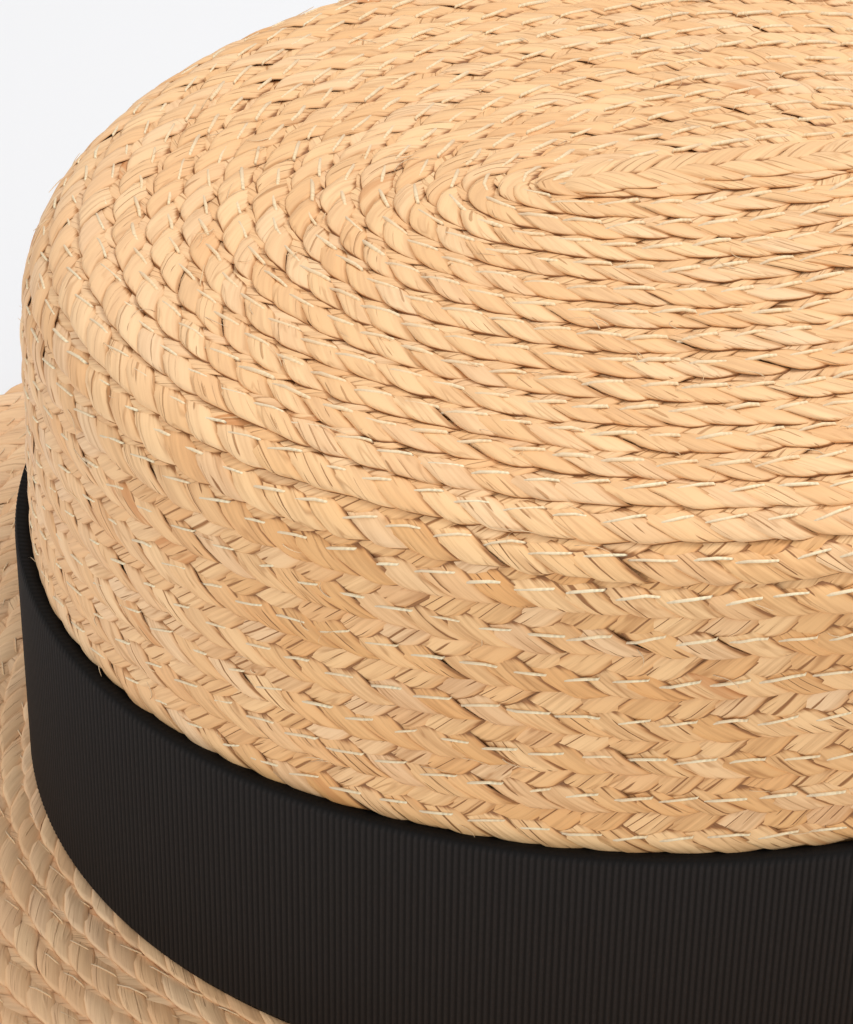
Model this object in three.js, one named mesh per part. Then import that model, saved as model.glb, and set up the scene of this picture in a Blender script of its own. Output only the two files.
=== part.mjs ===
// A sewn raffia hat: a hollow oval crown with a flat top, a flat brim and a ribbon band.
// Millimetres. +Z is up, X is the long axis of the head, and z = 0 is the underside of the brim.
import * as THREE from 'three';

const degrees = THREE.MathUtils.degToRad;

// Driving dimensions.
const FACETS = 56;          // round the oval
const GAP = 0.3;            // between pieces that touch
const WALL = 2.2;           // sewn braid, from the lip of a row to the inner face
const LIP = 0.9;            // how far the edge of a row stands above the row that it lies on
const SIDE_PITCH = 6.5;     // from row to row up the side
const TOP_PITCH = 4.85;     // from row to row over the shoulder, the top and the brim

const FOOT = { long: 102.5, short: 81.9 };                  // half-lengths of the crown's foot, outside
const CROWN = {
  straight: 82,             // side, from the foot to the shoulder
  lean: degrees(2.9),       // of the side, inwards
  shoulder: 13.5,           // radius
  dome: degrees(3.15),      // rise of the top towards its middle
  firstRow: 44.1,           // the row edge just inside the band's top
  shoulderSteps: 5,         // facets of the inner shoulder
};
const BRIM = {
  width: 50,
  lift: 1.7,                // of the underside at the crown, above the flat outer ring
  flat: 24,                 // width of the flat outer ring
  firstRow: 1.5,            // the first row edge outside the crown's foot
};
const BAND = {
  height: 44.6,
  thickness: 0.9,
  standoff: 0.35,           // from the lips of the rows
  lap: degrees(13),         // length of the sewn lap, at the back of the hat
};

// Every row runs parallel to the foot, so a row with the short half-length r is longer by this much.
const OVAL = FOOT.long - FOOT.short;
const SMALLEST_ROW = 3;
const CROWN_FOOT = BRIM.lift + WALL + GAP;

// Turns a lathe's circles into the hat's ovals and its axis upright.
function ovalLathe(profile) {
  const geometry = new THREE.LatheGeometry(profile, FACETS);
  const position = geometry.attributes.position;
  for (let i = 0; i < position.count; i += 1) {
    const r = Math.hypot(position.getX(i), position.getZ(i));
    const turn = Math.atan2(position.getX(i), position.getZ(i));
    const long = r + OVAL * Math.min(1, r / SMALLEST_ROW);
    position.setXYZ(i, long * Math.cos(turn), r * Math.sin(turn), position.getY(i));
  }
  return geometry;
}

// A point of the crown's profile: arc is the way up its outer surface, depth goes in from there.
function crownPoint(arc, depth) {
  const { straight, lean, shoulder, dome } = CROWN;
  const shoulderTurn = Math.PI / 2 - dome - lean;
  const bend = THREE.MathUtils.clamp((arc - straight) / shoulder, 0, shoulderTurn);
  const side = Math.min(arc, straight);
  const top = Math.max(0, arc - straight - shoulder * shoulderTurn);
  const facing = lean + bend;
  const normal = new THREE.Vector2(Math.cos(facing), Math.sin(facing));
  const point = new THREE.Vector2(FOOT.short - side * Math.sin(lean), CROWN_FOOT + side * Math.cos(lean));
  point.x -= shoulder * (Math.cos(lean) - normal.x) + top * Math.cos(dome);
  point.y += shoulder * (normal.y - Math.sin(lean)) + top * Math.sin(dome);
  point.addScaledVector(normal, -depth);
  point.x = Math.max(0, point.x);
  return point;
}

function crownRowEdges() {
  const edges = [];
  let arc = CROWN.firstRow;
  while (crownPoint(arc, 0).x > SMALLEST_ROW) {
    edges.push(arc);
    arc += arc < CROWN.straight ? SIDE_PITCH : TOP_PITCH;
  }
  return edges;
}

// Each row lies on the row below it and its lower edge stands out as a lip.
function makeCrown() {
  const shoulderLength = CROWN.shoulder * (Math.PI / 2 - CROWN.dome - CROWN.lean);
  const shoulderEnd = CROWN.straight + shoulderLength;
  const middle = shoulderEnd + crownPoint(shoulderEnd, 0).x / Math.cos(CROWN.dome);
  const profile = [crownPoint(middle, WALL)];
  for (let step = CROWN.shoulderSteps; step >= 0; step -= 1) {
    profile.push(crownPoint(CROWN.straight + (shoulderLength * step) / CROWN.shoulderSteps, WALL));
  }
  profile.push(crownPoint(0, WALL), crownPoint(0, 0));
  for (const edge of crownRowEdges()) profile.push(crownPoint(edge, LIP), crownPoint(edge, 0));
  profile.push(crownPoint(middle, LIP));
  return ovalLathe(profile);
}

// Each row lies on the row outside it and its outer edge stands up as a lip.
function makeBrim() {
  const underside = (out) => {
    const slope = BRIM.lift / (BRIM.width - BRIM.flat);
    return Math.max(0, BRIM.lift - slope * Math.max(0, out));
  };
  const at = (out, height) => new THREE.Vector2(FOOT.short + out, underside(out) + height);
  const profile = [at(-WALL, 0), at(BRIM.width - BRIM.flat, 0), at(BRIM.width, 0), at(BRIM.width, WALL)];
  for (let out = BRIM.width - TOP_PITCH; out > BRIM.firstRow - TOP_PITCH / 2; out -= TOP_PITCH) {
    profile.push(at(out, WALL - LIP), at(out, WALL));
  }
  profile.push(at(-WALL, WALL), at(-WALL, 0));
  return ovalLathe(profile);
}

// The ribbon goes once round the crown and its end is lapped over its start.
function makeBand() {
  const ring = (out) => (turn) => new THREE.Vector2(
    (FOOT.long + out) * Math.cos(turn),
    (FOOT.short + out) * Math.sin(turn),
  );
  const inner = ring(BAND.standoff);
  const outer = ring(BAND.standoff + BAND.thickness);
  const lapped = ring(BAND.standoff + 2 * BAND.thickness);
  const lapStart = (Math.PI - BAND.lap) / 2;
  const lapEnd = lapStart + BAND.lap;
  const outline = [lapped(lapStart), lapped((lapStart + lapEnd) / 2), lapped(lapEnd)];
  const rest = 2 * Math.PI - BAND.lap;
  for (let i = 0; i <= FACETS; i += 1) outline.push(outer(lapEnd + (rest * i) / FACETS));
  const shape = new THREE.Shape(outline);
  const hole = [];
  for (let i = 0; i < FACETS; i += 1) hole.push(inner(lapEnd + (2 * Math.PI * i) / FACETS));
  shape.holes.push(new THREE.Path(hole));

  // The ribbon leans in with the side of the crown.
  const geometry = new THREE.ExtrudeGeometry(shape, { depth: BAND.height, bevelEnabled: false, steps: 1 });
  const position = geometry.attributes.position;
  for (let i = 0; i < position.count; i += 1) {
    const turn = Math.atan2(position.getY(i) / FOOT.short, position.getX(i) / FOOT.long);
    const inset = position.getZ(i) * Math.tan(CROWN.lean);
    position.setX(i, position.getX(i) - inset * Math.cos(turn));
    position.setY(i, position.getY(i) - inset * Math.sin(turn));
  }
  return geometry.translate(0, 0, CROWN_FOOT);
}

const straw = { roughness: 0.75, metalness: 0 };
const PIECES = [
  { name: 'crown', make: makeCrown, finish: { ...straw, color: 0xe0b07c } },
  { name: 'brim', make: makeBrim, finish: { ...straw, color: 0xd9ab79 } },
  { name: 'hat_band', make: makeBand, finish: { color: 0x262223, roughness: 0.85, metalness: 0 } },
];

const hat = new THREE.Group();
for (const { name, make, finish } of PIECES) {
  const piece = new THREE.Mesh(make(), new THREE.MeshStandardMaterial(finish));
  piece.name = name;
  hat.add(piece);
}
export default hat;
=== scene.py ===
"""A sewn raffia hat: an oval, flat-topped crown and a flat brim of plaited braid, with a ribbed ribbon."""

import math
from typing import NamedTuple

import bmesh
import bpy
import numpy as np
from bpy.props import FloatProperty, FloatVectorProperty, IntProperty, PointerProperty
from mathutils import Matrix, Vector


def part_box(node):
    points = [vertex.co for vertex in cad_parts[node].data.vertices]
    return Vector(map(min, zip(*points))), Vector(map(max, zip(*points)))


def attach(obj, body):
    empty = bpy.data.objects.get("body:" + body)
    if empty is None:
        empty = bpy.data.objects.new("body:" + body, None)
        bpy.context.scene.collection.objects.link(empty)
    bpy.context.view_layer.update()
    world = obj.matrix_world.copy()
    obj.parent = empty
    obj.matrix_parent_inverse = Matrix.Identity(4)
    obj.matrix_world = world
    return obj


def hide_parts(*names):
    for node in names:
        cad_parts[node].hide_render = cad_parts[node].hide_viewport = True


bl_info = {
    "name": "Sewn Raffia Hat",
    "version": (1, 0, 0),
    "blender": (4, 5, 0),
    "location": "3D View > Sidebar > Raffia Hat",
    "description": "Plaits, sews and trims a raffia hat round its solids",
    "category": "Object",
}

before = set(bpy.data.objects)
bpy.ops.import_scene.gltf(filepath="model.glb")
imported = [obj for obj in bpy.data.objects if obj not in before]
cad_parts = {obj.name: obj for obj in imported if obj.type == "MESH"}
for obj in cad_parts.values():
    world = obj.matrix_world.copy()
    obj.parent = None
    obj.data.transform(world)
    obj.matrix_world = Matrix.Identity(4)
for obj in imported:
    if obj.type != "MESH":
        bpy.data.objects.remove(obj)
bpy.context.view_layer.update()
CROWN_LOW, CROWN_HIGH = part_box("crown")
BRIM_LOW, BRIM_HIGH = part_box("brim")
BAND_LOW, BAND_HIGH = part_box("hat_band")

MM = 0.001
TURN = 2 * math.pi
FOOT = CROWN_HIGH.y  # half the crown's width at its foot
OVAL = CROWN_HIGH.x - CROWN_HIGH.y  # how much longer than wide every row is, at each end
SMALLEST_ROW = 3 * MM  # nearer the middle of the top than this, the oval closes up


# ---------- sizes and colours


def number(name, description, default, unit="NONE"):
    return FloatProperty(name=name, description=description, default=default, unit=unit, precision=5)


def length(name, description, default_mm):
    return number(name, description, default_mm * MM, "LENGTH")


def angle(name, description, default_degrees):
    return number(name, description, math.radians(default_degrees), "ROTATION")


def colour(name, description, default):
    return FloatVectorProperty(
        name=name, description=description, default=default, size=3, subtype="COLOR", min=0, max=1
    )


class HAT_PG_shape(bpy.types.PropertyGroup):
    """The hat's outline between the solids' corners."""

    wall: length("Wall", "Thickness of the sewn braid", 2.2)
    lip: length("Lip", "How far a row's edge stands above the row that it lies on", 0.9)
    lean: angle("Lean", "How far the crown's side leans in", 2.9)
    dome: angle("Dome", "How steeply the top rises to its middle", 3.15)
    crest: length("Crest", "The top's middle above the highest lip", 0.4)
    shoulder: length("Shoulder", "Radius between the side and the top", 13.5)
    seat: length("Seat", "How far the brim's underside stands off the ground between its ridges", 0.3)
    brim_lift: length("Brim lift", "Brim's underside at the crown above its outer ring", 1.7)
    brim_flat: length("Brim flat", "Width of the brim's flat outer ring", 24)
    bend: length("Bend", "Radius inside, from the brim up into the crown", 2.5)


class HAT_PG_braid(bpy.types.PropertyGroup):
    """The three-strand plait and how it is sewn."""

    width: length("Width", "Width of the plait", 8.3)
    side_pitch: length("Side pitch", "From row to row up the side", 6.5)
    top_pitch: length("Top pitch", "From row to row over the shoulder, top and brim", 4.85)
    first_row: length("First row", "Lowest row's edge above the crown's foot", 37.6)
    spacing: length("Spacing", "From strand to strand along the plait", 5.8)
    fold_radius: length("Fold radius", "Radius of the plait's folded edge", 0.55)
    waver: length("Waver", "How far a row's edge wanders", 0.28)


class HAT_PG_thread(bpy.types.PropertyGroup):
    """The white sewing thread."""

    thickness: length("Thickness", "Diameter of the thread", 0.44)
    stitch: length("Stitch", "Length of a stitch that shows", 6.3)
    period: length("Period", "From stitch to stitch", 6.35)
    height: length("Height", "From a row's edge to its seam", 2.95)


class HAT_PG_ribbon(bpy.types.PropertyGroup):
    """The ribbed ribbon."""

    thickness: length("Thickness", "Thickness of the ribbon", 0.95)
    standoff: length("Standoff", "From the rows' lips to the ribbon", 0.35)
    rib: length("Rib", "From rib to rib", 0.92)
    rib_depth: length("Rib depth", "Height of a rib", 0.32)
    lap: length("Lap", "Length of the sewn lap at the back", 19)


class HAT_PG_colours(bpy.types.PropertyGroup):
    """The finishes."""

    # Painted sheen, mixed into the strands on the top.
    top_sheen: colour("Top sheen", "Cast of the strands on the top", (0.90, 0.635, 0.385))
    # Also painted as sheen at the left end, besides being the cast of the brim and of some strands.
    pale_straw_and_sheen: colour("Pale straw and sheen", "Cast of the brim, of the worn end and of some strands", (0.84, 0.60, 0.40))
    straw_light: colour("Straw light", "Palest strands", (0.90, 0.57, 0.285))
    straw: colour("Straw", "Most strands", (0.775, 0.42, 0.166))
    # The edges are painted shade in this colour; the streaks are the straw's own.
    deep_straw_and_shade: colour("Straw deep", "Darker streaks and edges", (0.42, 0.18, 0.055))
    # Also painted as warm shade at each strand's sides.
    warm_straw_and_shade: colour("Straw warm", "Strands with an orange cast", (0.78, 0.36, 0.112))
    # Painted shade: where strands go under one another, in splits and creases, and where the thread goes
    # into the straw.
    crease_shade: colour("Crease", "Where strands go under one another", (0.20, 0.075, 0.022))
    rust: colour("Rust", "The few reddish patches", (0.58, 0.23, 0.07))
    # Painted shade: darker than the strands, for straw seen deep between them.
    core: colour("Core", "Straw deep between the strands", (0.58, 0.29, 0.10))
    thread: colour("Thread", "Sewing thread", (1.0, 0.87, 0.6))
    sunk: colour("Sunk thread", "Thread that lies deep in the straw", (0.62, 0.46, 0.31))
    ribbon: colour("Ribbon", "Ribbon", (0.0120, 0.0098, 0.0092))
    backdrop: colour("Backdrop", "Floor", (0.81, 0.83, 0.87))
    daylight: colour("Daylight", "Tint of the even light", (1.0, 0.965, 0.92))
    fill: colour("Fill", "Tint of the lamp on the left", (0.80, 0.93, 1.0))


class HAT_PG_studio(bpy.types.PropertyGroup):
    """Camera and light."""

    lens: number("Lens", "Focal length", 105.3, "CAMERA")
    distance: length("Distance", "From the camera to the crown's near shoulder", 400)
    elevation: angle("Elevation", "How far the camera looks down", 39.6)
    azimuth: angle("Azimuth", "How far the camera is turned to the right", 9.58)
    daylight: number("Daylight", "Strength of the even light", 0.8)
    key: number("Key", "Power of the large lamp overhead", 3.24, "POWER")
    fill: number("Fill", "Power of the lamp on the left", 3.25, "POWER")
    seed: IntProperty(name="Seed", description="Start of all the random draws", default=7)


GROUPS = {
    "shape": HAT_PG_shape,
    "braid": HAT_PG_braid,
    "thread": HAT_PG_thread,
    "ribbon": HAT_PG_ribbon,
    "colours": HAT_PG_colours,
    "studio": HAT_PG_studio,
}


def settings(group):
    return getattr(bpy.context.scene, "raffia_hat_" + group)


# ---------- how the braid is worked


class Hand(NamedTuple):
    """How evenly a length of braid is plaited and sewn."""

    lively: float = 1.0  # how much its strands differ in place and height
    scalloped: float = 1.0  # how far its folds draw in between strands
    thick: float = 1.0  # its thread, against the usual thickness
    pulled: float = 1.0  # how far its thread is pulled tight at the worn end


class Column(NamedTuple):
    """One of the plait's two columns of strands, which are leaves from its edge to past its middle."""

    reach: float  # along the braid, from the fold to the far end
    rise: float  # across the braid, from the fold to the far end
    half: float  # half the width of a strand, along the braid
    crown: float  # how far the strand's sides drop
    overlap: float  # how far one side stands above the other
    arch: float  # how far it stands up along its middle
    dip: float  # how far the far end goes under the other column
    scallop: float  # how far the fold draws in at the strand's sides
    upper: bool  # whether it starts at the hidden edge


RIDGE = Column(
    reach=6.8 * MM, rise=5.3 * MM, half=3.6 * MM, crown=0.22 * MM, overlap=0.12 * MM, arch=0.34 * MM,
    dip=0.6 * MM, scallop=0.8 * MM, upper=False,
)
UPPER = RIDGE._replace(
    reach=6.3 * MM, rise=5.7 * MM, crown=0.20 * MM, arch=0.28 * MM,
    dip=0.5 * MM, scallop=0.5 * MM, upper=True,
)
CROSSING = 0.34 * MM  # how far a strand leans over the next at the plait's middle
FOLD = 3 / 7  # the part of a strand's faces that goes round its fold
FOLD_START = -1.05  # the fold's first angle, tucked under the edge
CURVE = 0.85  # how much a strand curves on its way across the plait
FAR_END = 0.7  # where a strand starts to go under the other column
DEEPEST, DEEPEST_INSIDE = 1.1 * MM, 0.66 * MM  # no strand goes deeper than the middle of the wall
RUN_ON = 8 * MM  # how far the strands of one length of braid reach into the one before
SPARE = 2  # strands past the end of braid that ends at the middle of the top
SPLIT = 0.55  # strands whose split number is below this are split
SPLIT_RIDGE, SPLIT_UPPER = 1.25, 0.65  # the highest split number in each column
PLAIN = 0.99  # the share of strands without a reddish patch
THREAD_LEVEL = 0.41 * MM  # how high the thread lies on the straw
THREAD_LOWEST = 0.25 * MM  # how far it stays above the deepest straw
TWISTS = 4.5  # of the thread in half a stitch
CORE_STEPS = 160  # round the hat
NO_AREA = 1e-12  # in square metres
FIBRE_OUTPUTS = ("Streak", "Height", "Edge", "Side", "Tone", "Rust", "High", "Worn")


def smooth(x):
    x = np.clip(x, 0, 1)
    return x * x * (3 - 2 * x)


def worn_end(turn, start):
    """0 over most of the hat, and up to 1 at the end that is worn smoother."""
    return smooth((-np.cos(turn) - start) / 0.7)


def draws(step):
    """The random numbers of one step, the same each time."""
    return np.random.default_rng([settings("studio").seed, step])


# ---------- the hat's surfaces


def gaps(points):
    """From each point of a line to the next."""
    return np.linalg.norm(np.diff(points, axis=0), axis=1)


def run(points):
    """How far along a line each of its points is."""
    return np.concatenate([[0], np.cumsum(gaps(points))])


class Line:
    """A line across the hat from its rim inwards, bent round its corners, that is swept round the oval."""

    ARC_STEPS = 16
    OFF_AXIS = 0.02 * MM  # no point comes nearer the hat's axis

    def __init__(self, corners):
        """Each corner has its distance from the axis, its height and its radius."""
        points = [np.array(corners[0][:2])]
        for before, corner, after in zip(corners, corners[1:], corners[2:]):
            points.extend(self.bend(*(np.array(c[:2]) for c in (before, corner, after)), corner[2]))
        points.append(np.array(corners[-1][:2]))
        self.points = np.array(points)
        self.along = run(self.points)
        self.length = self.along[-1]
        tangent = np.gradient(self.points, self.along, axis=0)
        tangent /= np.linalg.norm(tangent, axis=1, keepdims=True)
        self.normal = np.stack([tangent[:, 1], -tangent[:, 0]], axis=1)

    def bend(self, before, corner, after, radius):
        if radius == 0:
            return [corner]
        back = (before - corner) / np.linalg.norm(before - corner)
        on = (after - corner) / np.linalg.norm(after - corner)
        half = math.acos(float(np.clip(back @ on, -1, 1))) / 2
        middle = corner + (back + on) / np.linalg.norm(back + on) * radius / math.sin(half)
        x, z = corner + back * radius / math.tan(half) - middle
        swing = math.pi - 2 * half
        if back[0] * on[1] - back[1] * on[0] > 0:
            swing = -swing
        turns = np.linspace(0, swing, self.ARC_STEPS + 1)
        cos, sin = np.cos(turns), np.sin(turns)
        return middle + np.stack([x * cos - z * sin, x * sin + z * cos], axis=1)

    def at(self, along):
        """The points that far along the line, with the line's normals."""
        return [np.interp(along, self.along, column) for column in (*self.points.T, *self.normal.T)]

    def place(self, turn, along, height):
        """Points on the hat: turn goes round it, along goes up this line, height stands out from it."""
        r, z, out, up = self.at(along)
        r = np.maximum(r + height * out, self.OFF_AXIS)
        z = z + height * up
        long = r + OVAL * np.minimum(1, r / SMALLEST_ROW)
        return np.stack([long * np.cos(turn), r * np.sin(turn), z], axis=-1)


def shoulder_corner(foot, low, top):
    """Where the side that leans in from that foot meets the top."""
    shape = settings("shape")
    lean, dome = math.tan(shape.lean), math.tan(shape.dome)
    corner = (foot - (top - low) * lean) / (1 - lean * dome)
    return corner, top - corner * dome


def crown_line():
    """The outside of the crown, up from its foot."""
    shape = settings("shape")
    top = CROWN_HIGH.z + shape.crest
    corner = shoulder_corner(FOOT, CROWN_LOW.z, top)
    return Line([(FOOT, CROWN_LOW.z, 0), (*corner, shape.shoulder), (0, top, 0)])


def brim_line():
    """The top of the brim, in from its rim."""
    shape = settings("shape")
    rim, top = BRIM_HIGH.y, BRIM_LOW.z + shape.wall + shape.seat
    foot = FOOT - shape.wall / 2
    return Line([(rim, top, 0), (rim - shape.brim_flat, top, 0), (foot, top + shape.brim_lift, 0)])


def inner_line():
    """The underside of the brim, in from its rim, and on up the inside of the crown."""
    shape = settings("shape")
    rim, flat = BRIM_HIGH.y, BRIM_LOW.z + shape.seat
    low, top = flat + shape.brim_lift, CROWN_HIGH.z + shape.crest - shape.wall
    foot = FOOT - shape.wall / math.cos(shape.lean) + (CROWN_LOW.z - low) * math.tan(shape.lean)
    corner = shoulder_corner(foot, low, top)
    return Line([
        (rim, flat, 0),
        (rim - shape.brim_flat, flat, 0),
        (foot, low, shape.bend),
        (*corner, shape.shoulder - shape.wall),
        (0, top, 0),
    ])


class Rows:
    """Braid wound round the hat. Each turn lies level across the front and climbs a row over the back."""

    STEPS = 360  # a turn
    WAVES = 5  # that a row's edge wanders in
    MARGIN = 0.05 * MM  # kept at both ends of the line

    def __init__(self, line, edges, step, facing=1, follows=False, hand=Hand()):
        """Facing -1 is the inside. Braid that follows runs on from another length, up to the middle."""
        braid, draw = settings("braid"), draws(step)
        self.line, self.edges, self.facing, self.hand = line, np.array(edges), facing, hand
        self.first = -RUN_ON if follows else 0.0
        self.spare = SPARE if follows else 0
        self.waves = [
            (braid.waver * draw.uniform(0.15, 0.4), draw.integers(2, 12), draw.uniform(0, TURN))
            for _ in range(self.WAVES)
        ]
        turns = len(edges) - 1
        self.turns = np.linspace(0, TURN * turns, self.STEPS * turns + 1)
        seam = self.edge(self.turns) + facing * settings("thread").height
        self.distance = run(line.place(self.turns, seam, np.zeros_like(seam)))
        self.length = self.distance[-1]
        self.start_tuck = 0.0 if follows else self.distance[self.STEPS // 2]
        self.pitches = np.abs(np.diff(self.edges))

    def row(self, turn):
        """Which row that turn is in, counted from the first edge."""
        return np.floor(turn / TURN) + smooth(turn % TURN / math.pi)

    def edge(self, turn):
        row = self.row(turn)
        wander = sum(size * np.sin(times * turn + phase + 1.7 * row) for size, times, phase in self.waves)
        return np.interp(row, np.arange(len(self.edges)), self.edges) + wander

    def pitch(self, turn):
        """The width of the row that shows there."""
        return np.interp(self.row(turn), np.arange(len(self.pitches)), self.pitches)

    def turn_at(self, distance):
        inside = np.clip(distance, 0, self.length)
        step = self.turns[1] / np.where(distance < 0, self.distance[1], self.length - self.distance[-2])
        return np.interp(inside, self.distance, self.turns) + (distance - inside) * step

    def place(self, distance, up, height):
        """Points on the braid: distance along it, up from its edge across it, and height out of it."""
        turn = self.turn_at(distance)
        along = np.clip(self.edge(turn) + self.facing * up, self.MARGIN, self.line.length - self.MARGIN)
        return self.line.place(turn, along, self.facing * height)


class Strip:
    """The straight start of the braid, along the middle of the top."""

    OVERLONG = 0.8  # how much longer it is than the innermost row, in widths of the braid
    LIFT = 0.15 * MM  # above the end of the line
    END = 5 * MM  # the stretch at each end that narrows and sinks, and by how much
    NARROWS = 0.35
    SINKS = 1.1 * MM

    def __init__(self, line, step, facing=1, hand=Hand()):
        self.step, self.facing, self.hand = step, facing, hand
        self.high = line.at(line.length)[1] + self.LIFT * facing
        self.width = settings("braid").width
        self.length = 2 * OVAL + self.OVERLONG * self.width
        self.first, self.start_tuck, self.spare = 0.0, 1 * MM, SPARE

    def turn_at(self, distance):
        return distance

    def pitch(self, turn):
        return 2 * self.width + 0 * turn

    def place(self, distance, up, height):
        along = distance - self.length / 2
        end = np.clip((np.abs(along) - self.length / 2 + self.END) / self.END, 0, 1) ** 2
        across = (up - self.width / 2) * (1 - self.NARROWS * end)
        high = self.high + self.facing * (height - self.SINKS * end)
        return np.stack([along, self.facing * across, high], axis=-1)


def pitches(first, last, pitch, change=math.inf, next_pitch=0.0):
    """Row edges from first to last, a pitch apart, with next_pitch past change."""
    edges = [first]
    while edges[-1] < last:
        edges.append(edges[-1] + (pitch if edges[-1] < change else next_pitch))
    return edges


# ---------- meshes


def new_object(name, mesh):
    piece = bpy.data.objects.new(name, mesh)
    bpy.context.scene.collection.objects.link(piece)
    return piece


def finished(bm, name):
    mesh = bpy.data.meshes.new(name)
    bm.to_mesh(mesh)
    bm.free()
    return mesh


def patch(along, across):
    """A flat piece of strand: 0 to 1 along X, -1 to 1 across Y."""
    bm = bmesh.new()
    bm.loops.layers.uv.new("Strand")
    bmesh.ops.create_grid(bm, x_segments=along, y_segments=across, size=1, calc_uvs=True)
    for v in bm.verts:
        v.co.x = (v.co.x + 1) / 2
    return finished(bm, "patch")


def rod(sides, cuts, tip=1.0):
    """A rod from -1 to 1 along Z, of radius 1, and tip at its far end."""
    bm = bmesh.new()
    bmesh.ops.create_cone(bm, cap_ends=True, segments=sides, radius1=1, radius2=tip, depth=2)
    lengthwise = [e for e in bm.edges if abs(e.verts[0].co.z - e.verts[1].co.z) > 1]
    bmesh.ops.subdivide_edges(bm, edges=lengthwise, cuts=cuts)
    return finished(bm, "rod")


def points_of(mesh):
    points = np.empty(len(mesh.vertices) * 3, np.float32)
    mesh.vertices.foreach_get("co", points)
    return points.reshape(-1, 3).astype(float)


def shape_mesh(mesh, points, *marks):
    """Puts a mesh's points in place and stores up to four numbers on each, for its material."""
    mesh.vertices.foreach_set("co", points.astype(np.float32).ravel())
    mesh.update()
    stored = np.ones((len(points), 4), np.float32)
    for column, mark in enumerate(marks):
        stored[:, column] = mark
    layer = mesh.color_attributes.new("strand_marks", "FLOAT_COLOR", "POINT")
    layer.data.foreach_set("color", stored.ravel())


class Copies:
    """Many copies of one small mesh in one place, whose points are then moved together."""

    def __init__(self, mesh, count, draw):
        source = new_object("copies", mesh)
        array = source.modifiers.new("Array", "ARRAY")
        array.count = count
        array.use_relative_offset = False
        made = source.evaluated_get(bpy.context.evaluated_depsgraph_get())
        self.mesh = bpy.data.meshes.new_from_object(made)
        bpy.data.objects.remove(source)
        self.count, self.draw = count, draw
        self.points = points_of(self.mesh)
        self.which = np.repeat(np.arange(count), len(self.points) // count)

    def vary(self, low, high):
        """A random number for each copy, the same at all its points."""
        return self.draw.uniform(low, high, self.count)[self.which]


CELL_MARGIN = 0.06  # round each copy in the map below


def lay_out(mesh, count):
    """A map with a place of its own for each copy, so that nothing overlaps when it is unwrapped."""
    source = mesh.uv_layers[0]
    spots = np.empty(len(mesh.loops) * 2, np.float32)
    source.uv.foreach_get("vector", spots)
    spots = spots.reshape(count, -1, 2)
    across = math.ceil(math.sqrt(count))
    cell = np.arange(count)
    corner = np.stack([cell % across, cell // across], axis=1)[:, None, :]
    target = mesh.uv_layers.new(name="OFBake", do_init=False)
    spots = (corner + CELL_MARGIN + (1 - 2 * CELL_MARGIN) * spots) / across
    target.uv.foreach_set("vector", spots.astype(np.float32).ravel())
    mesh.uv_layers.active = source
    source.active_render = True


def join(name, meshes):
    """One object from several meshes."""
    bm = bmesh.new()
    for mesh in meshes:
        bm.from_mesh(mesh)
        bpy.data.meshes.remove(mesh)
    return new_object(name, finished(bm, name))


def dress(piece, node, material):
    """Every piece gets its material, rides on the hat and hides the solid that it stands for."""
    piece.data.materials.clear()
    piece.data.materials.append(material)
    piece.data.polygons.foreach_set("use_smooth", [True] * len(piece.data.polygons))
    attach(piece, "root")
    if node:
        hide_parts(node)


# ---------- the braid


def drop(rows, turn, up):
    """How far the braid slopes down, that far up from its edge, onto the row that it lies on."""
    return settings("shape").lip * np.maximum(up, 0) / np.maximum(rows.pitch(turn), SMALLEST_ROW)


def deepest(rows):
    return DEEPEST if rows.facing > 0 else DEEPEST_INSIDE


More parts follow.
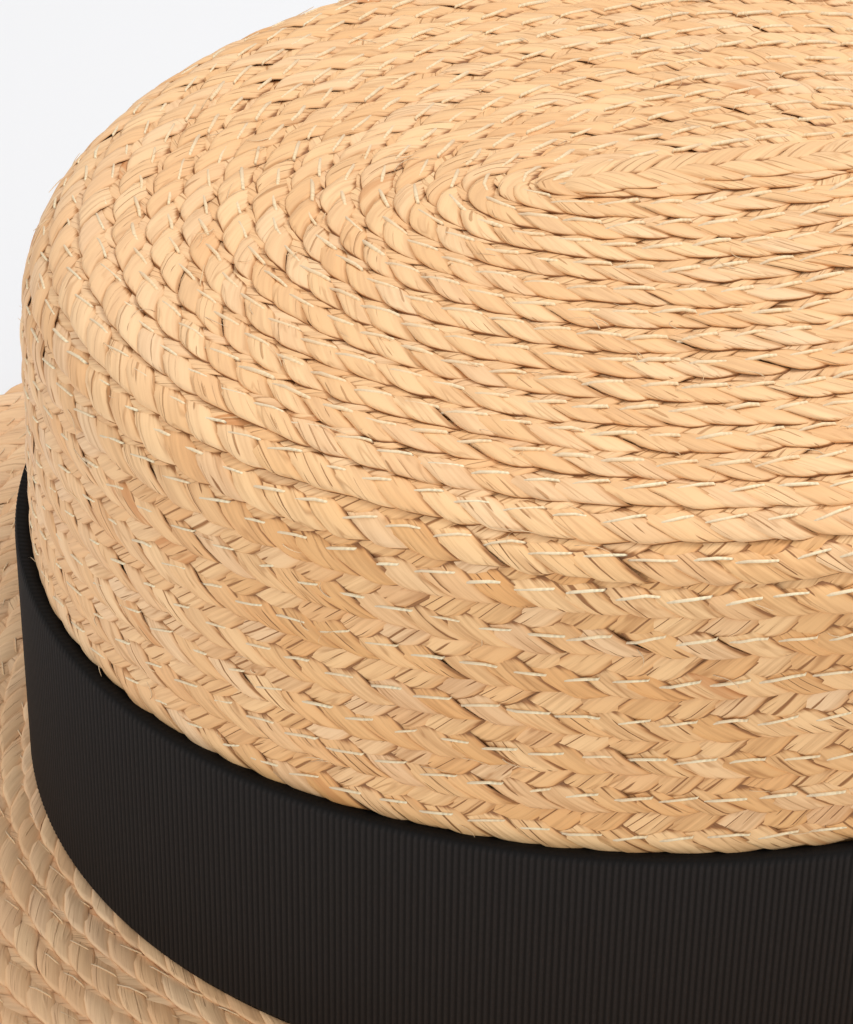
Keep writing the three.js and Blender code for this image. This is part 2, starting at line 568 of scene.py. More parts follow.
def strands(rows, column, along, across, draw):
    """All the strands of one column of the braid, as one mesh."""
    braid = settings("braid")
    count = round(rows.length / braid.spacing)
    spacing = rows.length / count
    leaf = Copies(patch(along, across), count + rows.spare, draw)
    t, q = leaf.points[:, 0], leaf.points[:, 1]
    vary = leaf.vary

    # Towards the worn end the strands are more even, and each bulges by its own amount.
    start = (leaf.which + 0.5 * column.upper) * spacing
    left_end = worn_end(rows.turn_at(start), 0.1)
    lively = rows.hand.lively * (1 - 0.75 * left_end)

    # Each strand rolls round the braid's edge and then lies flat, up to its far end.
    radius = braid.fold_radius * vary(0.85, 1.2)
    swing = FOLD_START + (math.pi / 2 - FOLD_START) * np.clip(t / FOLD, 0, 1)
    p = np.clip((t - FOLD) / (1 - FOLD), 0, 1)
    flat = column.rise * vary(0.95, 1.08) - radius
    up = radius * (1 - np.cos(swing)) + flat * p
    height = radius * (np.sin(swing) - 1)
    far = (radius * swing + flat * p) / column.rise
    back = column.reach * vary(0.93, 1.09) * np.sign(far) * np.abs(far) ** CURVE
    scalloped = column.scallop * (1.0 if column.upper else rows.hand.scalloped)
    scallop = scalloped * vary(0.6, 1.4) * (0.75 * q * q + 0.35 * np.minimum(q, 0) ** 2)
    ruffle = 0.12 * MM * np.sin(4 * q + vary(0, TURN))
    up += (1 - p) ** 1.5 * (scallop + ruffle)
    up += vary(-0.25, 0.25) * MM * lively
    going_under = smooth((p - FAR_END) / (1 - FAR_END))
    wide = column.half * vary(0.93, 1.10) * (1 - 0.22 * going_under)
    start = start + vary(-0.12, 0.12) * spacing * lively
    distance = np.clip(start - back + q * wide, rows.first, rows.length + RUN_ON)
    if column.upper:
        up = braid.width - up

    # It lies on the row below, leans over its neighbours and bends down at its sides and its far end.
    height -= drop(rows, rows.turn_at(distance), up)
    crossing = smooth((p - 0.25) / 0.4)
    lean = CROSSING * vary(0.8, 1.25) * crossing
    lean = lean - column.overlap * vary(0.4, 1.6) * lively * (1 - crossing)
    height += q * lean
    sides = 1 + q * (1.1 * crossing - 0.4) + 0.6 * (q < 0) * (1 - crossing)
    height -= column.crown * vary(0.7, 1.3) * np.abs(q) ** 3.5 * sides
    height += column.arch * vary(0.7, 1.3) * np.sin(math.pi * np.clip(p * 1.15, 0, 1))
    height += lively * MM * q * (vary(-0.10, 0.14) * q + vary(-0.08, 0.08) * (2 * p - 1))
    height += left_end * vary(-0.02, 0.26) * MM * (0.7 - q * q)
    height -= column.dip * going_under * (1.2 - 0.5 * q)
    height += vary(-0.10, 0.10) * MM * lively

    # The start and the end of a length of braid are tucked in.
    if rows.start_tuck > 0:
        height -= MM * (1 - smooth(distance / rows.start_tuck))
    height -= 0.8 * MM * smooth((distance - rows.length) / RUN_ON)
    height = np.maximum(height, -deepest(rows) * vary(0.93, 1.0))
    splits = vary(0, 1) * (SPLIT_UPPER if column.upper else SPLIT_RIDGE)
    tone = vary(0, 1)
    rust = (vary(0, 1) > PLAIN) * vary(0.5, 1)
    shape_mesh(leaf.mesh, rows.place(distance, up, height), tone, rust, vary(0, 1), splits)
    lay_out(leaf.mesh, leaf.count)
    return leaf.mesh


def stitches(rows, draw, sides, cuts):
    """The sewing thread of a braid: short lengths that dive into the straw at both ends."""
    thread, hand = settings("thread"), rows.hand
    rods = Copies(rod(sides, cuts), int(rows.length / thread.period), draw)
    points, vary = rods.points, rods.vary
    p = np.sign(points[:, 2]) * (1 - (1 - np.abs(points[:, 2])) ** 2)
    radius = hand.thick * thread.thickness / 2 * vary(0.85, 1.15) * (1 - 0.45 * np.abs(p) ** 5)
    distance = (rods.which + 0.5 + vary(-0.06, 0.06)) * thread.period
    distance = distance + p * thread.stitch / 2 * vary(0.88, 1.08)
    turn = rows.turn_at(distance)
    # The thread is pulled tighter at the worn end of the hat.
    tight = hand.pulled * worn_end(turn, 0.2)
    slope = vary(0.1, 0.75) + 0.45 * tight
    up = thread.height + (vary(-0.25, 0.25) + p * slope) * MM + points[:, 1] * radius
    up += vary(-0.16, 0.16) * MM * np.sin(2.6 * p + vary(0, TURN))
    up += vary(0.0, 0.45) * MM * (1 - p * p)
    level = THREAD_LEVEL - drop(rows, turn, thread.height)
    dive = 1.2 * MM * np.clip((np.abs(p) - 0.8) / 0.2, 0, 1) ** 2 + 0.4 * MM * p * p * (p < 0)
    dive += vary(-0.08, 0.12) * MM * np.sin(3.5 * p + vary(0, TURN)) + 0.2 * MM * tight
    height = np.maximum(level + vary(-0.06, 0.06) * MM - dive, THREAD_LOWEST - deepest(rows))
    height = height + points[:, 0] * radius
    sunk = np.clip(0.3 - p + 0.7 * tight, 0, 1)
    places = rows.place(np.clip(distance, 0, rows.length), up, height)
    shape_mesh(rods.mesh, places, np.abs(p), vary(0, 1), sunk)
    return rods.mesh


def core(name, line, first, last, out, into):
    """A thin closed layer in the middle of the wall, that shows deep between the strands."""
    corners = sorted([*line.along, line.length - SMALLEST_ROW])
    cuts = [first, *(a for a in corners if first < a < last), last]
    r, z, normal_out, normal_up = line.at(cuts)
    bm = bmesh.new()
    ring = []
    for depth, order in ((out, range(len(cuts))), (into, range(len(cuts) - 1, -1, -1))):
        for i in order:
            place = (max(0.0, r[i] + depth * normal_out[i]), 0, z[i] + depth * normal_up[i])
            ring.append(bm.verts.new(place))
    edges = [bm.edges.new((a, b)) for a, b in zip(ring, ring[1:] + ring[:1])]
    bmesh.ops.spin(
        bm, geom=ring + edges, cent=(0, 0, 0), axis=(0, 0, 1), angle=TURN, steps=CORE_STEPS, use_merge=True
    )
    bmesh.ops.remove_doubles(bm, verts=bm.verts, dist=0.01 * MM)
    flat = [f for f in bm.faces if f.calc_area() < NO_AREA]
    bmesh.ops.delete(bm, geom=flat, context="FACES")
    bmesh.ops.recalc_face_normals(bm, faces=bm.faces)
    for v in bm.verts:
        from_axis, turn = math.hypot(v.co.x, v.co.y), math.atan2(v.co.y, v.co.x)
        long = from_axis + OVAL * min(1, from_axis / SMALLEST_ROW)
        v.co.x, v.co.y = long * math.cos(turn), from_axis * math.sin(turn)
    return new_object(name, finished(bm, name))


# ---------- materials


def paint(name, times=1.0):
    """One of the colours, made that many times as bright."""
    return (*(times * part for part in getattr(settings("colours"), name)), 1)


class Nodes:
    """Adds nodes and links them, with each node's inputs given by name or number."""

    def __init__(self, tree):
        self.tree = tree

    def add(self, kind, inputs=None, **values):
        node = self.tree.nodes.new(kind)
        for name, value in values.items():
            setattr(node, name, value)
        for key, value in (inputs or {}).items():
            self.put(value, node.inputs[key])
        return node

    def put(self, value, socket):
        if isinstance(value, bpy.types.NodeSocket):
            self.tree.links.new(value, socket)
        else:
            socket.default_value = value

    def math(self, operation, a, b=0.0, c=0.0):
        return self.add("ShaderNodeMath", {0: a, 1: b, 2: c}, operation=operation).outputs[0]

    def times(self, a, b):
        return self.math("MULTIPLY", a, b)

    def scaled(self, value, times, plus):
        return self.math("MULTIPLY_ADD", value, times, plus)

    def larger(self, a, b):
        return self.math("MAXIMUM", a, b)

    def less_half(self, value):
        return self.math("SUBTRACT", value, 0.5)

    def off_half(self, value):
        return self.math("ABSOLUTE", self.less_half(value))

    def ramp(self, value, low, high, top=1.0, bottom=0.0, kind="LINEAR"):
        """From bottom, where the value is low, to top, where it is high."""
        limits = {"Value": value, "From Min": low, "From Max": high, "To Min": bottom, "To Max": top}
        return self.add("ShaderNodeMapRange", limits, interpolation_type=kind).outputs[0]

    def fade(self, value, low, high, top=1.0):
        return self.ramp(value, low, high, top, kind="SMOOTHSTEP")

    def noise(self, scale, detail, where=None):
        inputs = {"Vector": where or self.on_piece(), "Scale": scale, "Detail": detail}
        return self.add("ShaderNodeTexNoise", inputs).outputs[0]

    def on_piece(self):
        return self.add("ShaderNodeTexCoord").outputs["Object"]

    def parts(self, vector):
        return self.add("ShaderNodeSeparateXYZ", {0: vector}).outputs

    def mix(self, factor, a, b):
        inputs = {"Factor": factor, 6: a, 7: b}
        return self.add("ShaderNodeMix", inputs, data_type="RGBA", clamp_factor=True).outputs[2]

    def marks(self):
        """The four numbers stored on the piece's points."""
        stored = self.add("ShaderNodeVertexColor", layer_name="strand_marks").outputs
        return *self.add("ShaderNodeSeparateColor", {0: stored["Color"]}).outputs, stored["Alpha"]

    def surface(self, **values):
        """Gives the material's shader its colour, its roughness and the like."""
        shader = self.tree.nodes["Principled BSDF"]
        for name, value in values.items():
            self.put(value, shader.inputs[name.replace("_", " ")])

    def bump(self, height, strength, distance):
        inputs = {"Strength": strength, "Distance": distance, "Height": height}
        return self.add("ShaderNodeBump", inputs).outputs[0]


class FibreNodes(Nodes):
    """The nodes of a strand of raffia: the way along and across it, its own numbers and its streaks."""

    def __init__(self, tree):
        super().__init__(tree)
        self.tone, self.rust, self.seed, self.split = self.marks()
        self.along, self.across, _ = self.parts(self.add("ShaderNodeUVMap", uv_map="Strand").outputs[0])
        self.apart = self.times(self.seed, 61.0)
        self.fine = self.streaks(10.0, 1.3, 3.0, 3.0)
        self.broad = self.streaks(3.0, 0.9, 9.0, 1.0)

    def streaks(self, across, along, shift, detail):
        """Noise that is drawn out along the strand, and differs from strand to strand."""
        inputs = {
            0: self.times(self.across, across),
            1: self.scaled(self.along, along, shift),
            2: self.apart,
        }
        return self.noise(1.0, detail, self.add("ShaderNodeCombineXYZ", inputs).outputs[0])

    def gaps(self):
        """Painted shade lines along the strand."""
        # Some strands are split into two to four strips, with a narrow gap between them that is painted
        # dark as shade.
        strips = self.math("ADD", self.math("FLOOR", self.times(self.seed, 3.0)), 2.0)
        slant = self.scaled(self.less_half(self.broad), 0.3, self.across)
        to_gap = self.off_half(self.math("FRACT", self.times(slant, strips)))
        wide = self.scaled(self.fade(self.streaks(3.0, 3.0, 17.0, 0.0), 0.40, 0.6), 0.085, -0.5)
        gap = self.times(self.fade(self.math("ADD", to_gap, wide), 0.0, 0.06), 0.8)
        gap = self.times(gap, self.math("LESS_THAN", self.split, SPLIT))

        # Fine creases, painted dark as shade, wander along every strand.
        crease_shade = self.fade(self.off_half(self.streaks(4.5, 0.9, 29.0, 0.0)), 0.06, 0.0)
        broken = self.fade(self.streaks(2.0, 2.5, 41.0, 0.0), 0.46, 0.60)
        return self.larger(gap, self.times(self.times(crease_shade, broken), 0.38))

    def tucked_side_shade(self):
        """Painted shade where the strand goes under its neighbour, and a thin painted shade line at both
        sides.
        """
        crossing = self.fade(self.along, 0.55, 0.75)
        uneven = self.scaled(self.less_half(self.broad), 0.16, self.across)
        near = self.times(self.fade(uneven, 0.88, 0.96), self.math("SUBTRACT", 1.0, crossing))
        away = self.times(self.fade(uneven, 0.12, 0.04), crossing)
        left = self.fade(self.across, 0.07, 0.015, 0.8)
        right = self.fade(self.across, 0.93, 0.985, 0.8)
        return self.larger(self.times(self.larger(near, away), 0.8), self.larger(left, right))

    def tucked_end_shade(self):
        """Painted shade under the fold and at the far end."""
        tip = self.scaled(self.less_half(self.fine), 0.12, self.along)
        return self.larger(self.fade(self.along, 0.25, 0.16), self.fade(tip, 0.83, 0.92, 0.9))


def fibre_group():
    """Streaks, creases and splits on each strand of raffia, with painted shade in the splits and creases
    and at the edges, and the masks for painted sheen and warm shade. Depth is how dark the painted edge
    shade is.
    """
    tree = bpy.data.node_groups.new("Raffia fibre", "ShaderNodeTree")
    for way, names in (("INPUT", ("Depth",)), ("OUTPUT", FIBRE_OUTPUTS)):
        for name in names:
            tree.interface.new_socket(name, in_out=way, socket_type="NodeSocketFloat")
    nodes = FibreNodes(tree)

    # Sheen is painted on the top and on the left end, and the painted shade lines are weaker on both.
    x, _, z = nodes.parts(nodes.on_piece())
    high = nodes.fade(z, CROWN_HIGH.z - 9 * MM, CROWN_HIGH.z - 2.5 * MM)
    left_end = nodes.fade(x, -62 * MM, -100 * MM)
    gap = nodes.gaps()
    sides = nodes.times(nodes.larger(gap, nodes.tucked_side_shade()), nodes.scaled(high, -0.45, 1.0))
    depth = nodes.add("NodeGroupInput").outputs["Depth"]
    dark = nodes.times(nodes.larger(sides, nodes.tucked_end_shade()), depth)
    relief = nodes.scaled(nodes.fine, 0.35, nodes.times(nodes.broad, 0.65))
    rusty = nodes.fade(nodes.streaks(5.0, 0.7, 53.0, 1.0), 0.46, 0.60, 0.85)
    nodes.add("NodeGroupOutput", {
        "Streak": nodes.scaled(nodes.fine, 0.6, nodes.times(nodes.broad, 0.4)),
        "Height": nodes.scaled(gap, -0.55, relief),
        "Edge": nodes.times(dark, nodes.scaled(left_end, -0.3, 1.0)),
        # Painted warm shade towards the strand's sides.
        "Side": nodes.fade(nodes.times(nodes.off_half(nodes.across), 2.0), 0.6, 1.0),
        "Tone": nodes.tone,
        "Rust": nodes.times(nodes.rust, rusty),
        # High and Left sheen mask where sheen is painted and the painted shade is weaker.
        "High": high,
        "Worn": left_end,
    })
    return tree


def new_material(name):
    material = bpy.data.materials.new(name)
    material.use_nodes = True
    return material, Nodes(material.node_tree)


def straw_material(name, fibres, cast, amount, depth):
    """Raffia strands: streaked along their length, each its own shade, a few with rusty patches."""
    material, nodes = new_material(name)
    out = nodes.add("ShaderNodeGroup", {"Depth": depth}, node_tree=fibres).outputs

    def some(spread, others, most):
        """A mask for a share of the strands, each with its own amount of it."""
        return nodes.ramp(nodes.math("FRACT", nodes.times(out["Tone"], spread)), others, 1.0, most)

    base = nodes.mix(out["Tone"], paint("straw_light"), paint("straw"))
    layers = (
        (some(7.3, 0.6, 0.45), "warm_straw_and_shade"),
        (some(13.7, 0.62, 0.4), "pale_straw_and_sheen"),
        (nodes.ramp(out["Streak"], 0.44, 0.70, 0.6), "deep_straw_and_shade"),
        # Painted warm shade at the strands' sides.
        (nodes.times(out["Side"], 0.5), "warm_straw_and_shade"),
        # Painted sheen on the top and at the left end.
        (nodes.times(out["High"], 0.32), "top_sheen"),
        (nodes.times(out["Worn"], 0.3), "pale_straw_and_sheen"),
        # Painted shade at the strands' edges, in splits and creases, darkening to the crease shade.
        (nodes.times(out["Edge"], 1.5), "deep_straw_and_shade"),
        (nodes.scaled(out["Edge"], 1.8, -0.9), "crease_shade"),
        (out["Rust"], "rust"),
        (amount, cast),
    )
    for mask, colour_name in layers:
        base = nodes.mix(mask, base, paint(colour_name))
    rough = nodes.ramp(out["Streak"], 0.0, 1.0, 0.75, 0.5)
    nodes.surface(Base_Color=base, Roughness=rough, Normal=nodes.bump(out["Height"], 0.8, 0.3 * MM))
    return material


def core_material():
    """Straw between the strands, painted darker as shade."""
    material, nodes = new_material("straw_core")
    base = nodes.mix(nodes.noise(900.0, 2.0), paint("core"), paint("core", 0.6))
    nodes.surface(Base_Color=base, Roughness=0.9)
    return material


def thread_material(name, dull):
    """Thread that is duller where it is sunk, with painted shade at both ends, where it goes into the
    straw, and in the grooves of its twist.
    """
    material, nodes = new_material(name)
    from_middle, mixed, sunk, _ = nodes.marks()
    twist = nodes.math("SINE", nodes.times(from_middle, TWISTS * TURN))
    twist = nodes.scaled(twist, 0.3, nodes.noise(2600.0, 1.0))
    # The twist's grooves are painted darker as shade.
    base = nodes.mix(twist, paint("thread"), paint("thread", 0.7))
    base = nodes.mix(dull, base, paint("straw"))
    base = nodes.mix(nodes.times(mixed, 0.3), base, paint("straw_light"))
    base = nodes.mix(nodes.times(sunk, 0.7), base, paint("sunk"))
    # Painted shade at both ends, where the thread goes into the straw.
    base = nodes.mix(nodes.ramp(from_middle, 0.88, 0.97), base, paint("crease_shade"))
    nodes.surface(Base_Color=base, Roughness=0.7, Normal=nodes.bump(twist, 0.6, 0.1 * MM))
    return material


def ribbon_material():
    """Black grosgrain, with painted highlights on its ribs and painted shade between them, darkest there
    and off its outer face.
    """
    material, nodes = new_material("grosgrain")
    face = nodes.mix(nodes.noise(1800.0, 2.0), paint("ribbon"), paint("ribbon", 1.8))
    # Painted light and shade: the rib crests lighter, the grooves and the faces off the outer one darker.
    base = nodes.mix(nodes.times(nodes.marks()[0], 1.6), paint("ribbon", 0.4), face)
    nodes.surface(Base_Color=base, Roughness=0.75, Specular_IOR_Level=0.16)
    return material


MADE = {}


def finish_of(name):
    """The materials are made once and shared."""
    if not MADE:
        fibres = fibre_group()
        MADE.update(
            crown=straw_material("crown_straw", fibres, "straw", 0.0, 1.0),
            brim=straw_material("brim_straw", fibres, "pale_straw_and_sheen", 0.2, 0.5),
            inside=straw_material("inside_straw", fibres, "deep_straw_and_shade", 0.1, 0.8),
            core=core_material(),
            thread=thread_material("sewing_thread", 0.0),
            top_thread=thread_material("top_thread", 0.25),
            brim_thread=thread_material("brim_thread", 0.6),
            fibre=thread_material("loose_fibre", 0.45),
            ribbon=ribbon_material(),
        )
    return MADE[name]


# ---------- operators


class Stretch(NamedTuple):
    """One length of braid: what it stands for, its finishes and how finely it is modelled."""

    name: str
    node: str
    finish: str
    thread: str
    step: int  # its random draws, from which those for its strands and stitches are counted
    ridge: tuple  # faces along and across a strand of the folded column
    upper: tuple  # the same for the other column
    stitch: tuple  # a stitch's sides, and the cuts along it
    hand: Hand = Hand()


SIDE_HAND = Hand(scalloped=0.9)
TOP_HAND = Hand(lively=0.9, scalloped=1.5, thick=1.3, pulled=0.35)
CROWN_SIDE = Stretch("crown_side", "crown", "crown", "thread", 0, (7, 6), (5, 5), (6, 4), SIDE_HAND)
CROWN_TOP = Stretch("crown_top", "crown", "crown", "top_thread", 1, (7, 6), (4, 5), (6, 4), TOP_HAND)
BRIM_TOP = Stretch("brim", "brim", "brim", "brim_thread", 3, (7, 6), (4, 5), (5, 3), Hand(thick=0.75))
UNDERSIDE = Stretch("brim_underside", "brim", "inside", "thread", 40, (5, 4), (4, 3), (4, 2))
CROWN_INSIDE = Stretch("crown_inside", "crown", "inside", "thread", 41, (5, 4), (4, 3), (4, 2))
STRIP_STEP, INSIDE_STRIP_STEP = 25, 75


def plait(stretch, line, edges, facing=1, strip=None):
    """Makes a length of braid and its stitches, and the straight strip that one ends against."""
    rows = Rows(line, edges, stretch.step, facing, strip is not None, stretch.hand)
    parts = [
        strands(rows, RIDGE, *stretch.ridge, draws(stretch.step + 10)),
        strands(rows, UPPER, *stretch.upper, draws(stretch.step + 20)),
    ]
    if strip:
        parts += [strands(strip, column, *stretch.ridge, draws(strip.step)) for column in (RIDGE, UPPER)]
    dress(join(stretch.name + "_braid", parts), stretch.node, finish_of(stretch.finish))
    seam = stitches(rows, draws(stretch.step + 30), *stretch.stitch)
    dress(new_object(stretch.name + "_stitches", seam), None, finish_of(stretch.thread))


def crown_edges(line):
    braid, shape = settings("braid"), settings("shape")
    shoulder = CROWN_HIGH.z - CROWN_LOW.z - shape.shoulder - 2 * MM
    end = line.length - 2.6 * MM
    edges = pitches(braid.first_row, end, braid.side_pitch, shoulder, braid.top_pitch)
    return [e for e in edges if e < end]


class HAT_OT_crown(bpy.types.Operator):
    """Plait the outside of the crown"""

    bl_idname = "raffia_hat.crown"
    bl_label = "Crown"

    PAST_SHOULDER = 12 * MM  # the top's piece starts this much nearer the middle than the crown's foot

    def execute(self, context):
        line = crown_line()
        edges = crown_edges(line)
        split = next(i for i, e in enumerate(edges) if e > line.length - FOOT + self.PAST_SHOULDER)
        plait(CROWN_SIDE, line, edges[: split + 1])
        plait(CROWN_TOP, line, edges[split:], strip=Strip(line, STRIP_STEP, hand=Hand(lively=0.8)))
        return {"FINISHED"}


class HAT_OT_brim(bpy.types.Operator):
    """Plait the top of the brim"""

    bl_idname = "raffia_hat.brim"
    bl_label = "Brim"

    def execute(self, context):
        braid = settings("braid")
        line = brim_line()
        edges = pitches(0.0, line.length - braid.width, braid.top_pitch)
        plait(BRIM_TOP, line, [0.0, *edges, line.length - 4 * MM])
        return {"FINISHED"}


class HAT_OT_inside(bpy.types.Operator):
    """Plait the underside of the brim and the inside of the crown, and fill the middle of the wall"""

    bl_idname = "raffia_hat.inside"
    bl_label = "Inside and core"

    CORE_OUT = 1.15 * MM  # the core's outer face, in from the wall's
    CORE_INTO = 1.5 * MM  # and its inner face
    OVERLAP = 2 * MM  # from the crown's foot into the brim's core

    def execute(self, context):
        braid, shape = settings("braid"), settings("shape")
        line = inner_line()
        brim_width = BRIM_HIGH.y - FOOT + shape.wall
        first = braid.top_pitch
        brim_edges = [first, *pitches(first, brim_width, braid.top_pitch)]
        plait(UNDERSIDE, line, brim_edges, facing=-1)
        last = line.length - 3 * MM
        side_top = brim_width + CROWN_HIGH.z - shape.shoulder
        edges = pitches(brim_edges[-1], last, braid.side_pitch, side_top, braid.top_pitch)
        strip = Strip(line, INSIDE_STRIP_STEP, facing=-1)
        plait(CROWN_INSIDE, line, [*edges, line.length], facing=-1, strip=strip)
        foot = brim_width + self.OVERLAP
        depths = shape.wall - self.CORE_OUT, shape.wall - self.CORE_INTO
        for node, first, last in (("brim", self.OVERLAP, foot), ("crown", foot, line.length)):
            piece = core(node + "_core", line, first, last, *depths)
            dress(piece, node, finish_of("core"))
        return {"FINISHED"}


class HAT_OT_ribbon(bpy.types.Operator):
    """Wrap the ribbed ribbon round the crown and lap its end over its start"""

    bl_idname = "raffia_hat.ribbon"
    bl_label = "Ribbon"

    # Places round the ribbon's section: the part of its height, and of its thickness from its inner face.
    SECTION = (
        (0.02, 0.0), (0.0, 0.5), (0.025, 1.0), (0.34, 1.0),
        (0.68, 1.0), (0.975, 1.0), (1.0, 0.7), (0.99, -2.1),
    )
    STEPS = 1440  # a turn
    RIB_FACES = 4  # along the ribbon
    RIB_ROOM = 0.15 * MM  # kept inside the ribbon's thickness for its ribs
    LEAN = 0.6  # the part of the crown's lean that the ribbon takes

    def execute(self, context):
        ribbon = settings("ribbon")
        turns = np.linspace(0, 2 * TURN, 2 * self.STEPS + 1)
        foot = self.outline(turns, ribbon.standoff)
        far = run(foot)
        around = float(gaps(foot[: self.STEPS + 1]).sum())
        ribbon_length = around + ribbon.lap
        section = np.array(self.SECTION)
        columns = self.RIB_FACES * round(ribbon_length / ribbon.rib)
        bm = bmesh.new()
        bmesh.ops.create_grid(bm, x_segments=columns, y_segments=len(section), size=1)
        mesh = finished(bm, "hat_ribbon")
        points = points_of(mesh)
        where = (points[:, 0] + 1) / 2 * ribbon_length
        loop = np.rint((points[:, 1] + 1) / 2 * len(section)).astype(int)
        up, out = section[loop % len(section)].T
        face = out == 1.0
        rib = face * np.cos(TURN * where / ribbon.rib)

        # The ribbon starts half a lap before the middle of the back.
        start = math.pi / 2 - ribbon.lap / FOOT / 2
        turn = np.interp(np.interp(start, turns, far) + where, far, turns)
        lapped = smooth((where - around + 2 * MM) / (3 * MM))
        height = BAND_HIGH.z - BAND_LOW.z
        wave = 0.12 * MM * np.sin(3 * turn + 1.0) + 0.08 * MM * np.sin(11 * turn)
        z = BAND_LOW.z + up * height + wave * (up > 0.5)
        stand = ribbon.standoff + out * (ribbon.thickness - self.RIB_ROOM) + lapped * ribbon.thickness
        stand = stand + rib * ribbon.rib_depth / 2
        stand = stand - self.LEAN * up * height * math.tan(settings("shape").lean)
        places = np.concatenate([self.outline(turn, stand), z[:, None]], axis=1)
        # The mark is for painted light and shade: high on the ribs' crests, nothing in the grooves and off
        # the outer face.
        shape_mesh(mesh, places, 0.5 * face + 0.5 * rib)
        self.close(mesh)
        piece = new_object("hat_ribbon", mesh)
        dress(piece, "hat_band", finish_of("ribbon"))
        return {"FINISHED"}

    def outline(self, turn, out):
        return np.stack([(FOOT + OVAL + out) * np.cos(turn), (FOOT + out) * np.sin(turn)], axis=-1)

    def close(self, mesh):
        """Joins the two long edges of the ribbon's section and caps its ends."""
        bm = bmesh.new()
        bm.from_mesh(mesh)
        bmesh.ops.remove_doubles(bm, verts=bm.verts, dist=0.001 * MM)
        ends = [e for e in bm.edges if e.is_boundary]
        bmesh.ops.holes_fill(bm, edges=ends, sides=0)
        bmesh.ops.recalc_face_normals(bm, faces=bm.faces)
        bm.to_mesh(mesh)
        bm.free()


class HAT_OT_fibres(bpy.types.Operator):
    """Add the few loose fibres that stand off the braid"""

    bl_idname = "raffia_hat.fibres"
    bl_label = "Loose fibres"

    COUNT = 320
    ROWS_STEP, FIBRES_STEP = 5, 80  # their random draws

    def execute(self, context):
        line = crown_line()
        rows = Rows(line, crown_edges(line), self.ROWS_STEP)
        rods = Copies(rod(3, 5, tip=0.35), self.COUNT, draws(self.FIBRES_STEP))
        points, vary = rods.points, rods.vary
        p = (points[:, 2] + 1) / 2
        size = vary(1.5, 5.5) * MM
        aim = vary(-0.9, 0.9) + np.where(vary(0, 1) > 0.5, math.pi, 0)
        bend = aim + vary(-1.2, 1.2) * p
        radius = vary(0.06, 0.13) * MM
        distance = vary(0.02, 0.98) * rows.length + size * p * np.cos(bend) + radius * points[:, 0]
        up = vary(0.3, 4.5) * MM + size * p * np.sin(bend) * 0.7 + radius * points[:, 0]
        height = -0.25 * MM + vary(0.3, 1.1) * MM * np.sqrt(p) + radius * points[:, 1]
        places = rows.place(np.clip(distance, 0, rows.length), up, height)
        shape_mesh(rods.mesh, places, 0.0, vary(0.3, 1), vary(0, 1))
        dress(new_object("loose_fibres", rods.mesh), None, finish_of("fibre"))
        return {"FINISHED"}


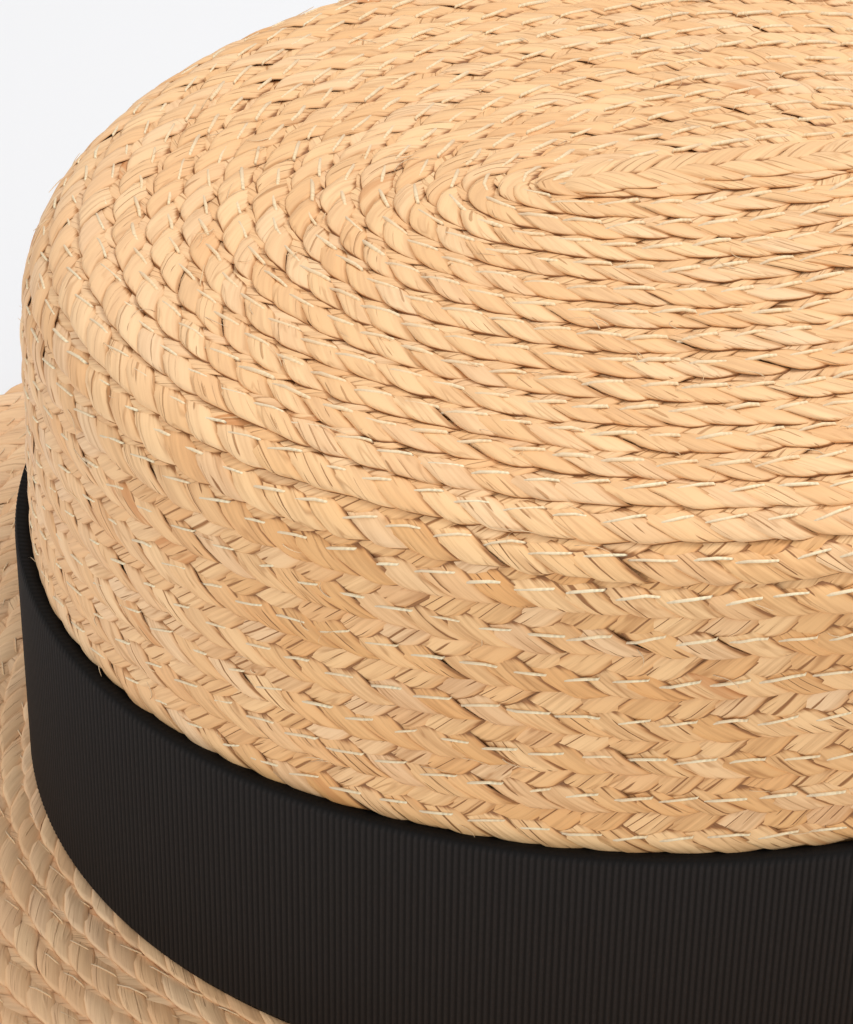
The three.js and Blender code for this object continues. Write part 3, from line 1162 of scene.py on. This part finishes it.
class HAT_OT_studio(bpy.types.Operator):
    """Set the floor, the lights and the camera"""

    bl_idname = "raffia_hat.studio"
    bl_label = "Studio"

    NEAR_SHOULDER = Vector((-47.6, -35.4, 75)) * MM  # what the camera looks at
    FLOOR_SIZE = 6

    def execute(self, context):
        scene, studio, colours = context.scene, settings("studio"), settings("colours")
        self.floor()
        world = bpy.data.worlds.new("studio")
        world.use_nodes = True
        background = world.node_tree.nodes["Background"]
        background.inputs["Color"].default_value = paint("daylight")
        background.inputs["Strength"].default_value = studio.daylight
        scene.world = world
        scene.view_settings.view_transform = "Standard"
        self.lamp("key", (0.35, 0.0, 0.8), 0.35, studio.key, (1.0, 1.0, 1.0))
        self.lamp("fill", (-0.85, -0.85, 0.4), 0.7, studio.fill, colours.fill)

        aim = Vector((
            math.sin(studio.azimuth) * math.cos(studio.elevation),
            math.cos(studio.azimuth) * math.cos(studio.elevation),
            -math.sin(studio.elevation),
        ))
        data = bpy.data.cameras.new("camera")
        data.lens = studio.lens
        data.clip_start = 0.01
        scene.camera = self.hang("camera", data, self.NEAR_SHOULDER - studio.distance * aim, aim)
        return {"FINISHED"}

    def hang(self, name, data, place, aim):
        """Puts a lamp or the camera in its place, aimed that way."""
        hung = bpy.data.objects.new(name, data)
        hung.location = place
        hung.rotation_euler = aim.to_track_quat("-Z", "Y").to_euler()
        bpy.context.scene.collection.objects.link(hung)
        return hung

    def lamp(self, name, place, size, power, tint):
        data = bpy.data.lights.new(name, "AREA")
        data.color = tint
        data.shape = "DISK"
        data.size = size
        data.energy = power
        self.hang(name, data, place, -Vector(place))

    def floor(self):
        bm = bmesh.new()
        bmesh.ops.create_grid(bm, x_segments=1, y_segments=1, size=self.FLOOR_SIZE)
        floor = new_object("floor", finished(bm, "floor"))
        material, nodes = new_material("backdrop")
        nodes.surface(Base_Color=paint("backdrop"), Roughness=0.9)
        floor.data.materials.append(material)


class HAT_PT_panel(bpy.types.Panel):
    """Lists the hat's sizes, colours and pieces"""

    bl_label = "Raffia Hat"
    bl_idname = "HAT_PT_panel"
    bl_space_type = "VIEW_3D"
    bl_region_type = "UI"
    bl_category = "Raffia Hat"

    def draw(self, context):
        for name in GROUPS:
            values = settings(name)
            box = self.layout.box()
            box.label(text=name.capitalize())
            for key in values.bl_rna.properties.keys():
                if key not in ("rna_type", "name"):
                    box.prop(values, key)
        for operator in OPERATORS:
            self.layout.operator(operator.bl_idname)


OPERATORS = (
    HAT_OT_crown,
    HAT_OT_brim,
    HAT_OT_inside,
    HAT_OT_ribbon,
    HAT_OT_fibres,
    HAT_OT_studio,
)


def register():
    for name, made in GROUPS.items():
        bpy.utils.register_class(made)
        setattr(bpy.types.Scene, "raffia_hat_" + name, PointerProperty(type=made))
    for made in (*OPERATORS, HAT_PT_panel):
        bpy.utils.register_class(made)


def unregister():
    for made in (HAT_PT_panel, *reversed(OPERATORS)):
        bpy.utils.unregister_class(made)
    for name, made in GROUPS.items():
        delattr(bpy.types.Scene, "raffia_hat_" + name)
        bpy.utils.unregister_class(made)


def main():
    register()
    bpy.ops.raffia_hat.crown()
    bpy.ops.raffia_hat.brim()
    bpy.ops.raffia_hat.inside()
    bpy.ops.raffia_hat.ribbon()
    bpy.ops.raffia_hat.fibres()
    bpy.ops.raffia_hat.studio()


if __name__ == "__main__":
    main()
